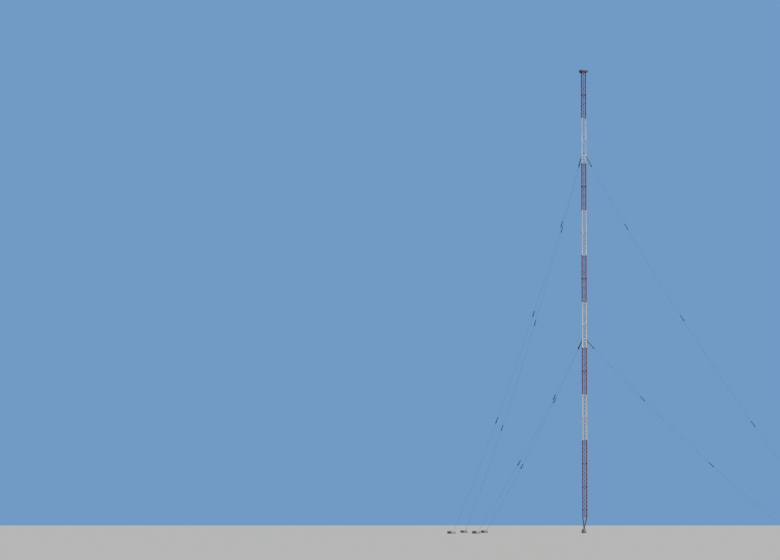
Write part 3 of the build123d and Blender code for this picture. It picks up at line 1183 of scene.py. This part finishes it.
# Ladder: stringers in lengths, spliced above each joint, with their rungs
splice_heights = joints[:-1] + splice_rise
cuts = np.concatenate([[ladder_bottom], splice_heights, [ladder_top]])
outer_face = (ladder_width + stringer_thickness) / 2
stringer_end = ladder_offset + stringer_width
bolt_x = ladder_offset + stringer_width / 2
stringer_line = boxed(ladder_offset, stringer_end, outer_face - stringer_thickness, outer_face, bar_edge)
stringer_ends = zip(cuts[:-1] + stringer_gap, cuts[1:] - stringer_gap)
stringer_lengths = [slab(stringer_line, low, high, bar_edge) for low, high in stringer_ends]
splice_low, splice_high = ladder_offset + splice_inset, stringer_end - splice_inset
splice_face = outer_face + splice_thickness
splice_line = boxed(splice_low, splice_high, outer_face, splice_face, fine_edge)
splice_bolt = copies(hexagon_nut(splice_bolt_radius, splice_bolt_height, splice_bolt_edge), tilted(-90))
splice_spots = [(bolt_x, splice_face, height) for height in splice_bolt_heights]
splice_plate = slab(splice_line, -splice_half, splice_half, fine_edge)
splice = merged(splice_plate, copies(splice_bolt, shifted(*splice_spots)))
stringer = merged(*stringer_lengths, copies(splice, raised(splice_heights)))
# The other stringer is this one turned by half a turn about the ladder's own middle line
other_side = chained(shifted((2 * bolt_x, 0, 0)), turned_to([180]))
stringers = merged(stringer, copies(stringer, other_side))
piece("ladder_stringers", stringers, dull_steel, ["ladder"])

rung_end = outer_face + rung_tip
rung = tube([(bolt_x, -rung_end, 0), (bolt_x, rung_end, 0)], rung_radius, rung_sides, (1, 0, 0))
rungs = copies(rung, raised(np.arange(first_rung, ladder_top - last_rung_drop, rung_spacing)))
piece("ladder_rungs", rungs, dull_steel)

# Ladder arms: plates from the flanges of one leg, with clip bolts at both ends
arm_outline = [
    (stringer_end, -outer_face),
    (flange_inner_reach, -ladder_arm_width / 2),
    (flange_inner_reach, ladder_arm_width / 2),
    (stringer_end, outer_face),
]
clip_x = stringer_end + clip_inset
arm_bolt_x = flange_inner_reach - arm_bolt_inset
arm_spots = [(clip_x, -clip_reach, 0), (clip_x, clip_reach, 0), (arm_bolt_x, 0, 0)]
arm = merged(
    slab(arm_outline, 0, ladder_arm_thickness, plate_edge),
    copies(hex_head, chained(raised(ladder_arm_thickness), shifted(*arm_spots))),
    copies(bolt_below, shifted(*arm_spots)),
)
piece("ladder_arm_plates", copies(arm, raised(joints[:-1])), zinc, ["ladder_arms"])


def guy_height(reach, guy):
    """The straight line from lug to anchor less a parabola's sag.

    What the sag takes off is 4 sag s (1 - s), where s is the share of the way from lug to anchor.
    """
    lug_height = guy.collar_height - collar_drop
    share = (reach - lug_reach) / (guy.anchor_reach - lug_reach)
    return lug_height + (anchor_height - lug_height) * share - 4 * guy.sag * share * (1 - share)


def guy_point(reach, guy):
    """A point of the guy that runs out over +X."""
    return np.array([reach, 0.0, guy_height(reach, guy)])


def slope_between(reach, other, guy):
    """The guy's direction between two reaches."""
    run = guy_point(other, guy) - guy_point(reach, guy)
    return run / np.linalg.norm(run)


def guy_stations(guy):
    """Ends of every string and wire of one guy, from the lug outwards, and of its rigging screw."""
    slope = slope_between(lug_reach, lug_reach + mast_string_length / 2, guy)
    reaches = [lug_reach, lug_reach + mast_string_length * slope[0]]
    for reach in guy.string_reaches:
        half = guy_string_length / 2 * slope_between(reach, reach + guy_string_length / 2, guy)[0]
        reaches += [reach - half, reach + half]
    stations = [guy_point(reach, guy) for reach in reaches]
    seat = guy_point(guy.anchor_reach, guy)
    slope = slope_between(guy.anchor_reach - screw_length / 2, guy.anchor_reach, guy)
    return stations + [seat - slope * screw_length, seat]


def collar_rings(lug_tip):
    """Two channel rings round the column, with bolted cover plates over the middle of each side."""
    channel_line = channel(collar_width, collar_depth, collar_steel)
    ring = framed(cut_triangle(collar_side, lug_corner), channel_line)
    cover_line = boxed(collar_side, collar_side + cover_thickness, -cover_half, cover_half, bar_edge)
    cover_ends = [(collar_side + cover_bolt_root, 0, 0), (collar_side + cover_bolt_reach, 0, 0)]
    cover_bolt = tube(cover_ends, cover_bolt_radius, nut_sides, (0, 1, 0))
    cover_bolts = copies(cover_bolt, shifted(*[(0, y, 0) for y in cover_bolt_spots]))
    cover = merged(slab(cover_line, -cover_rise, cover_rise, bar_edge), cover_bolts)
    covers = copies(cover, chained(raised(collar_depth / 2), turned_to(azimuths + 60)))
    levels = lug_tip[2] + np.array([0, collar_drop])
    return copies(merged(ring, covers), raised(levels - collar_depth / 2))


def collar_lug(lug_tip, slope):
    """A plate over one leg that joins both rings and reaches out to the guy's pin, with the pin's boss."""
    across = np.array([-slope[2], slope[0]]) * lug_end / 2
    tip = lug_tip[[0, 2]]
    half_depth = collar_depth / 2 - lug_inset
    low, high = lug_tip[2] - half_depth, lug_tip[2] + collar_drop + half_depth
    outline = [
        (lug_root, low),
        (lug_corner, low),
        tip - across,
        tip + across,
        (lug_corner, high),
        (lug_root, high),
    ]
    lug = copies(slab(outline, -lug_thickness / 2, lug_thickness / 2, lug_edge), tilted(90))
    boss_line = [
        (pin_boss_radius - 0.0004, -pin_boss_half),
        (pin_boss_radius, 0.0004 - pin_boss_half),
        (pin_boss_radius, pin_boss_half - 0.0004),
        (pin_boss_radius - 0.0004, pin_boss_half),
    ]
    pin_place = chained(aimed(lug_tip, lug_tip + slope), raised(-pin_depth))
    return merged(lug, copies(turned(boss_line, boss_sides), chained(pin_place, tilted(90))))


def bead_shapes(radius, pitch, shed_count):
    """One insulator of a string, about Z: porcelain sheds, and the steel caps and links at both its ends."""
    low, high = bead_cap_share * pitch, (1 - bead_cap_share) * pitch
    core = bead_core_share * radius
    shed_line = [
        (core, 0.05),
        (radius * 0.96, 0.3),
        (radius, 0.42),
        (radius * 0.93, 0.52),
        (core * 1.12, 0.92),
    ]
    bead_line = [
        (core, low - bead_cap_overlap),
        *stacked(shed_line, low, (high - low) / shed_count, shed_count),
        (core, high + bead_cap_overlap),
    ]
    cap_shares = [(0.0024, 0), (0.0024, 0.05), (0.0046, 0.06), (0.0056, 0.09), (core * 1.2, bead_cap_share)]
    cap_line = np.array(cap_shares) * (1, pitch)
    caps = merged(turned(cap_line, bead_sides), turned(flipped(cap_line, pitch), bead_sides))
    return turned(bead_line, bead_sides), caps


def string_shapes(start, end, shed_count):
    """A string's beads from its outer end inwards, the outermost one the thickest."""
    pitch = np.linalg.norm(start - end) / bead_count
    beads = []
    caps = []
    for bead in range(bead_count):
        porcelain, steel = bead_shapes(bead_radius if bead else end_bead_radius, pitch, shed_count)
        place = chained(aimed(end, start), raised(bead * pitch))
        beads.append(copies(porcelain, place))
        caps.append(copies(steel, place))
    return merged(*beads), merged(*caps)


def guy_strings(stations):
    """Every insulator string of one guy, its porcelain and its steel. The one at the mast has more sheds."""
    beads = []
    caps = []
    for inner in range(0, len(stations) - 2, 2):
        shed_count = guy_shed_count if inner else mast_shed_count
        porcelain, steel = string_shapes(stations[inner], stations[inner + 1], shed_count)
        beads.append(porcelain)
        caps.append(steel)
    return merged(*beads), merged(*caps)


def strand_paths(stations, guy):
    """The sagging path of every wire of one guy, from string to string."""
    paths = []
    for start, end in zip(stations[1:-1:2], stations[2:-1:2]):
        points = max(int((end[0] - start[0]) / strand_step), strand_least_points)
        reach = np.linspace(start[0], end[0], points)
        path = np.stack([reach, 0 * reach, guy_height(reach, guy)], axis=-1)
        path[0], path[-1] = start, end
        paths.append(path)
    return paths


def strand_runs(path):
    """The length along a wire at the four corners of each of its faces."""
    run = np.concatenate([[0], np.cumsum(np.linalg.norm(np.diff(path, axis=0), axis=1))])
    ends = np.stack([run[:-1], run[:-1], run[1:], run[1:]], axis=-1)
    return np.repeat(ends, strand_sides, axis=0)


def strand_sockets(paths):
    """The cast socket at both ends of every wire."""
    outline = [
        (0.0014, 0),
        (0.0024, 0.0008),
        (0.0029, 0.005),
        (0.0026, 0.011),
        (0.0015, strand_socket_length),
    ]
    socket = turned(outline, strand_socket_sides)
    places = [aimed(path[0], path[1]) for path in paths] + [aimed(path[-1], path[-2]) for path in paths]
    return copies(socket, np.concatenate(places))


def shackle():
    """A bow shackle in the YZ plane: its pin crosses the origin, and its bow reaches out along +Z.

    The bow is the half circle y = r cos a, z = rise + r sin a, with its ends run down to the pin.
    """
    angles = np.linspace(0, pi, 9)
    across, outward = bow_radius * np.cos(angles), bow_rise + bow_radius * np.sin(angles)
    bow = np.stack([0 * angles, across, outward], axis=-1)
    path = np.concatenate([[(0, bow_radius, -bow_heel)], bow, [(0, -bow_radius, -bow_heel)]])
    pin_path = [(0, -shackle_pin_half, 0), (0, shackle_pin_half, 0)]
    head_path = [(0, shackle_head_start, 0), (0, shackle_head_stop, 0)]
    return merged(
        tube(path, bow_bar, shackle_sides, (1, 0, 0)),
        tube(pin_path, shackle_pin, shackle_sides, (1, 0, 0)),
        tube(head_path, shackle_head, nut_sides, (1, 0, 0)),
    )


def rigging_screw():
    """A rigging screw along Z: jaws, threaded rods, lock nuts and an open body with two side bars."""
    rod_line = [(screw_rod, 0), (screw_rod, screw_rod_reach - 0.0005), (screw_rod - 0.0003, screw_rod_reach)]
    far_rod_line = flipped(rod_line, screw_length)
    far_rod_line[-1, 1] = screw_length - near_jaw_depth
    boss_line = [(screw_boss - 0.0006, 0), (screw_boss, 0.0008)]
    boss_line = np.concatenate([boss_line, flipped(boss_line, screw_boss_length)])
    boss_starts = [screw_boss_start, screw_length - screw_boss_start - screw_boss_length]
    nut_starts = [lock_nut_start, screw_length - lock_nut_start - lock_nut_height]
    bar_path = [(0, 0, screw_bar_start), (0, 0, screw_length - screw_bar_start)]
    bar = tube(bar_path, screw_bar, screw_bar_sides, (0, 1, 0))
    far_jaw_place = chained(raised(screw_length - far_jaw_depth), turned_to([90]))
    return merged(
        turned(rod_line, screw_rod_sides),
        turned(far_rod_line, screw_rod_sides),
        copies(turned(boss_line, boss_sides), raised(boss_starts)),
        copies(bar, turned_to([0, 180], (screw_bar_offset, 0, 0))),
        copies(hexagon_nut(lock_nut_radius, lock_nut_height, lock_nut_edge), raised(nut_starts)),
        copies(shackle(), raised(near_jaw_depth)),
        copies(shackle(), far_jaw_place),
    )


def seat_plate():
    """The plate, eye and four bolts at the guy's anchored end, on the XY plane."""
    half = seat_plate_half
    plate_line = boxed(-half, half, -half, half, seat_plate_cut)
    plate = slab(plate_line, -seat_plate_sink, seat_plate_rise, plate_edge)
    eye_line = boxed(-eye_thickness / 2, eye_thickness / 2, -eye_width / 2, eye_width / 2, bar_edge)
    nuts = copies(anchor_nut, bolt_places(seat_bolt_circle, seat_bolt_count, seat_plate_rise))
    return merged(plate, slab(eye_line, 0, eye_height, lug_edge), nuts)


def anchor_block(seat, slope):
    """A block's outline in the XZ plane carried across, its inner top edge cut square to the guy.

    The underside stays sharp, and the other edges are chamfered.
    """
    along = np.array([-slope[2], slope[0]]) * seat_length / 2
    low, high = seat[[0, 2]] - along, seat[[0, 2]] + along
    back = low[0] + block_length
    outline = np.array([(low[0], 0), (back, 0), (back, high[1]), high, low])
    narrow = outline - block_chamfer * corner_draws(outline)
    narrow[:2, 1] = 0
    half = block_width / 2
    rings = np.empty((4, len(outline), 3))
    rings[:, :, [0, 2]] = np.stack([narrow, outline, outline, narrow])
    rings[:, :, 1] = np.array([-half, block_chamfer - half, half - block_chamfer, half])[:, None]
    return skin(rings)


def guy_level(level, guy):
    """Makes one level's collar, strings and strands.

    What both levels share as one piece is returned: the lug, the fittings, the rigging screw with its seat's
    plate, and the anchor block of the guy that runs out over +X.
    """
    stations = guy_stations(guy)
    lug_tip = stations[0]
    screw_start, seat = stations[-2:]
    lug_slope = (stations[1] - lug_tip) / np.linalg.norm(stations[1] - lug_tip)
    piece(f"{level}_collar_rings", collar_rings(lug_tip), white_paint, [f"{level}_guy_collar"])

    beads, caps = guy_strings(stations)
    piece(f"{level}_string_sheds", thrice(beads), glaze, [f"{level}_guy_insulators"])

    paths = strand_paths(stations, guy)
    wires = merged(*[tube(path, strand_radius, strand_sides, (0, 1, 0)) for path in paths])
    runs = np.concatenate([strand_runs(path) for path in paths])
    for direction, azimuth in directions.items():
        piece(
            f"{level}_strand_{direction}",
            copies(wires, turned_to([azimuth])),
            strand,
            [f"{level}_guy_wire_{direction}"],
            around=strand_sides,
            lengths=runs,
        )

    lug_shackle = copies(shackle(), chained(aimed(lug_tip, stations[1]), raised(-pin_depth)))
    fittings = merged(caps, lug_shackle, strand_sockets(paths))
    screw = copies(rigging_screw(), aimed(screw_start, seat))
    screw = merged(screw, copies(seat_plate(), aimed(seat, screw_start)))
    block = anchor_block(seat, (seat - screw_start) / screw_length)
    return collar_lug(lug_tip, lug_slope), fittings, screw, block


guy_levels = [guy_level(level, guy) for level, guy in guys.items()]
lugs, fittings, screws, blocks = [thrice(merged(*shapes)) for shapes in zip(*guy_levels)]
piece("collar_lugs", lugs, dull_steel)
piece("guy_fittings", fittings, dull_steel)
piece("screw_bodies", screws, zinc, ["rigging_screws"])
piece("anchor_block_bodies", blocks, concrete, ["anchor_blocks"], edge_angle=20)

# Head platform: a channel ring, and a beam of two flanges and a web over each leg
platform_outline = cut_triangle(platform_side_reach, platform_corner_reach)
platform_channel = channel(platform_ring_width, platform_frame_depth, platform_steel)
half_arm = platform_arm_width / 2
half_web = platform_steel / 2
beam_flange_line = boxed(-half_arm, half_arm, 0, platform_steel, bar_edge)
beam_flange = carried(beam_flange_line, flange_inner_reach, platform_corner_reach - platform_ring_width)
beam_flanges = copies(beam_flange, raised([0, platform_frame_depth - platform_steel]))
beam_web_line = boxed(-half_web, half_web, half_web, platform_frame_depth - half_web, bar_edge)
beam_web = carried(beam_web_line, flange_inner_reach, platform_corner_reach - half_web)
beams = thrice(merged(beam_flanges, beam_web))
platform_beams = copies(merged(framed(platform_outline, platform_channel), beams), raised(mast_top))
piece("platform_beams", platform_beams, red_paint, ["platform_frame"])

kerb_top = deck_top + kerb_height
kerb_line = [
    (0, deck_top),
    (kerb_thickness, deck_top),
    (kerb_thickness, kerb_top - kerb_edge),
    (kerb_thickness - kerb_edge, kerb_top),
    (kerb_edge, kerb_top),
    (0, kerb_top - kerb_edge),
]
piece("platform_kerb_rail", framed(platform_outline, kerb_line), red_paint, ["platform_kerb"])


def grating(outline, opening, levels, profile):
    """Bars along X across a convex outline, one for each level of Y, broken at an opening.

    An edge with the normal n and the reach r bounds X at (r - y n_y) / n_x, on the right where n_x is
    positive and on the left where it is negative, and the nearest edge on either side ends the bar.
    """
    normals = edge_normals(outline)
    reach = (normals * outline).sum(axis=1)
    slanted = ~np.isclose(normals[:, 0], 0)
    normals, reach = normals[slanted], reach[slanted]
    room = (reach - levels[:, None] * normals[:, 1]) / normals[:, 0]
    high = np.where(normals[:, 0] > 0, room, np.inf).min(axis=1)
    low = np.where(normals[:, 0] < 0, room, -np.inf).max(axis=1)
    (open_left, open_right), (open_low, open_high) = opening
    broken = (levels > open_low) & (levels < open_high)
    starts = np.concatenate([low, np.full(broken.sum(), open_right)])
    stops = np.concatenate([np.where(broken, open_left, high), high[broken]])
    places = np.tile(np.eye(4), (len(starts), 1, 1))
    places[:, 0, 0] = stops - starts
    places[:, 0, 3] = starts
    places[:, 1, 3] = np.concatenate([levels, levels[broken]])
    return copies(carried(profile, 0, 1), places)


# Deck: a bar grating with a rim round its hatch and its edge, cut to the platform's outline
hatch_x = (ladder_offset - hatch_size / 2, ladder_offset + hatch_size / 2)
hatch_y = (-hatch_size / 2, hatch_size / 2)
deck_outline = platform_outline - deck_gap * corner_draws(platform_outline)
bar_line = boxed(-grating_half, grating_half, deck_height, deck_top - grating_drop, hair_edge)
bar_levels = np.arange(-bars_aside, bars_aside + 1) * grating_pitch
bearing_bars = grating(deck_outline, (hatch_x, hatch_y), bar_levels, bar_line)
# The cross rods are worked out with the platform turned a quarter turn clockwise
sideways_outline = np.stack([deck_outline[:, 1], -deck_outline[:, 0]], axis=-1)
sideways_hatch = (hatch_y, (-hatch_x[1], -hatch_x[0]))
rod_top = deck_top - rod_drop
rod_line = boxed(-rod_half, rod_half, rod_top - rod_height, rod_top, hair_edge)
rod_levels = np.arange(-rods_outward, rods_inward + 1) * rod_pitch
cross_rods = grating(sideways_outline, sideways_hatch, rod_levels, rod_line)
rim_line = rectangle(0, rim_thickness, deck_height, deck_top)
hatch_outline = rectangle(*hatch_x, *hatch_y)
hatch_rim = framed(hatch_outline + rim_thickness * corner_draws(hatch_outline), rim_line)
edge_rim = framed(platform_outline, rim_line)
deck = merged(bearing_bars, copies(cross_rods, turned_to([90])), hatch_rim, edge_rim)
piece("deck_grating", deck, zinc, ["platform_deck"])

# Bolts that hold the platform's beams down
beam_bolts = shifted(
    (beam_bolt_reach, -beam_bolt_half, mast_top),
    (beam_bolt_reach, beam_bolt_half, mast_top),
    (tip_bolt_reach, 0, mast_top),
)
piece("platform_bolts", thrice(copies(bolt_below, beam_bolts)), zinc)

# The plates that stay as they are, under the column's paint
for name in ("foot_diaphragms", "platform_knees"):
    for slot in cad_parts[name].material_slots:
        slot.material = red_paint

# Floor
floor_corners = [(x, y, 0) for x, y in rectangle(-floor_half, floor_half, -floor_half, floor_half)]
floor_mesh = bpy.data.meshes.new("floor")
floor_mesh.from_pydata(floor_corners, [], [(0, 1, 2, 3)])
floor = bpy.data.objects.new("floor", floor_mesh)
bpy.context.collection.objects.link(floor)
floor_finish, floor_tree, floor_shader, _ = new_finish("Floor")
feed(floor_tree, floor_shader, {"Base Color": floor_colour, "Roughness": 1, "Specular IOR Level": 0})
floor_mesh.materials.append(floor_finish)

# World: soft light from everywhere, and the backdrop's colour where it is seen or reflected
world = bpy.data.worlds.new("Studio")
bpy.context.scene.world = world
world.use_nodes = True
sky = world.node_tree
soft = sky.nodes["Background"]
feed(sky, soft, {"Color": (1, 1, 1, 1), "Strength": soft_light})
seen = add_node(sky, "ShaderNodeBackground", {"Color": backdrop, "Strength": 1.0})
rays = add_node(sky, "ShaderNodeLightPath").outputs
visible = math_node(sky, "MAXIMUM", rays["Is Camera Ray"], rays["Is Glossy Ray"])
visible = math_node(sky, "MAXIMUM", visible, rays["Is Transmission Ray"])
both = add_node(sky, "ShaderNodeMixShader", {0: visible, 1: soft.outputs[0], 2: seen.outputs[0]})
feed(sky, sky.nodes["World Output"], {"Surface": both.outputs[0]})

key = bpy.data.lights.new("Key", "SUN")
key.energy = key_light
key.angle = radians(key_spread)
key_object = bpy.data.objects.new("Key", key)
key_object.rotation_euler = (radians(90 - key_height), 0, radians(key_turn))
bpy.context.collection.objects.link(key_object)

# Camera: it stands level with a person, looks a little left of the mast and up
lens = bpy.data.cameras.new("Camera")
lens.lens = camera_lens
lens.sensor_width = camera_sensor
lens.clip_start = nearest_seen
lens.clip_end = farthest_seen
camera = bpy.data.objects.new("Camera", lens)
bpy.context.collection.objects.link(camera)
camera_azimuth = radians(-90 - camera_turn)
camera_x = camera_distance * np.cos(camera_azimuth)
camera_y = camera_distance * np.sin(camera_azimuth)
camera.location = (camera_x, camera_y, camera_height)
camera.rotation_euler = (radians(90 + camera_tilt), 0, radians(camera_yaw - camera_turn))
bpy.context.scene.camera = camera
bpy.context.scene.view_settings.view_transform = "Standard"
